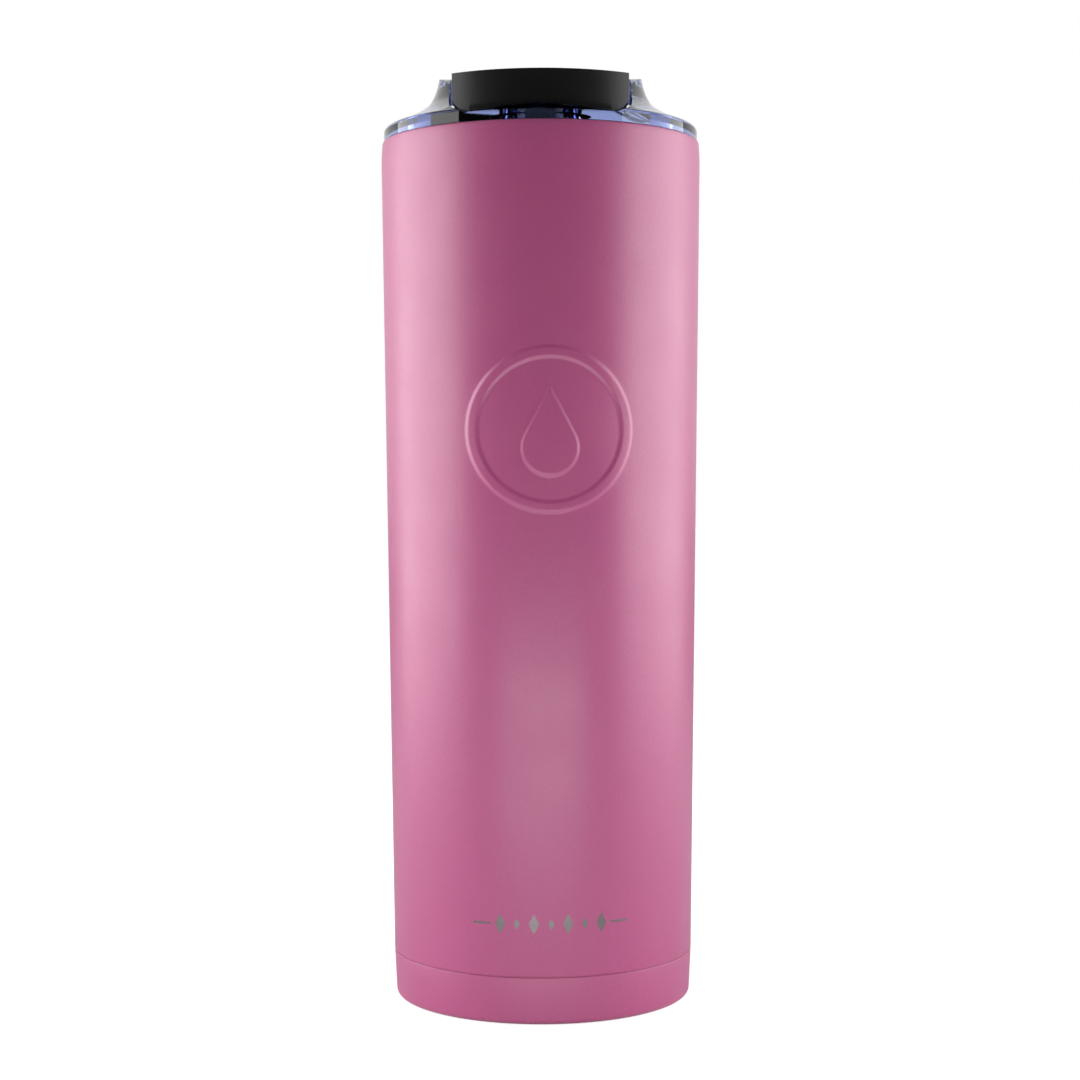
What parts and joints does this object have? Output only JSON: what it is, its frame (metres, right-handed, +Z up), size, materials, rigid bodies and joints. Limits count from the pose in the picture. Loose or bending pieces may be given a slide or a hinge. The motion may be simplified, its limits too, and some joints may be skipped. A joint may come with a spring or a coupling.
{
  "type": "protein shaker bottle",
  "caption": "Tall tapered double-walled steel shaker bottle with a clear screw lid, a flip cap between two hinge ears and a mixing grid under the lid.",
  "frame": {"origin": "centre of the ring that the bottle stands on", "axes": "+Z up along the bottle's axis, -Y towards the drinking side, +X to the right seen from the front"},
  "size_m": [0.0842, 0.0842, 0.2454],
  "materials": {
    "powder_coat": "fine matt powder coat on steel, slightly pebbled",
    "steel": "turned and brushed stainless steel",
    "seal_glass": "fused glass bead",
    "getter_metal": "dull sintered metal",
    "clear_plastic": "clear smoke-blue moulded plastic, polished",
    "silicone": "translucent grey silicone",
    "pin_steel": "ground stainless rod",
    "nylon": "natural nylon",
    "black_plastic": "satin black moulded plastic",
    "stopper_silicone": "soft black silicone",
    "grid_plastic": "satin black moulded plastic"
  },
  "bodies": {
    "bottle": {"outer_shell": "powder_coat", "inner_liner": "steel", "shell_bottom": "steel", "vacuum_plug": "seal_glass", "getter": "getter_metal", "getter_strap": "steel", "base_cup": "powder_coat"},
    "seal": {"lid_gasket": "silicone"},
    "lid": {"lid_body": "clear_plastic", "hinge_pin_left": "pin_steel", "hinge_pin_right": "pin_steel", "hinge_washer_left": "nylon", "hinge_washer_right": "nylon"},
    "cap": {"flip_cap": "black_plastic", "cap_carrier": "black_plastic", "spout_stopper": "stopper_silicone"},
    "mixer": {"grid_collar": "grid_plastic", "mixing_grid": "grid_plastic"}
  },
  "joints": [
    {"name": "lid_rise", "type": "slide", "parent": "bottle", "child": "seal", "axis": [0, 0, 1], "range_m": [0, 0.008]},
    {"name": "lid_turn", "type": "hinge", "parent": "seal", "child": "lid", "pos_m": [0, 0, 0.225], "axis": [0, 0, 1], "range_deg": [0, 576]},
    {"name": "cap_hinge", "type": "hinge", "parent": "lid", "child": "cap", "pos_m": [0, 0, 0.2391], "axis": [-1, 0, 0], "range_deg": [0, 110]},
    {"name": "grid_twist", "type": "hinge", "parent": "lid", "child": "mixer", "pos_m": [0, 0, 0.2125], "axis": [0, 0, 1], "range_deg": [0, 60]}
  ],
  "couplings": [
    {"joint": "lid_rise", "follows": "lid_turn", "m_per_rad": 0.00079577}
  ]
}
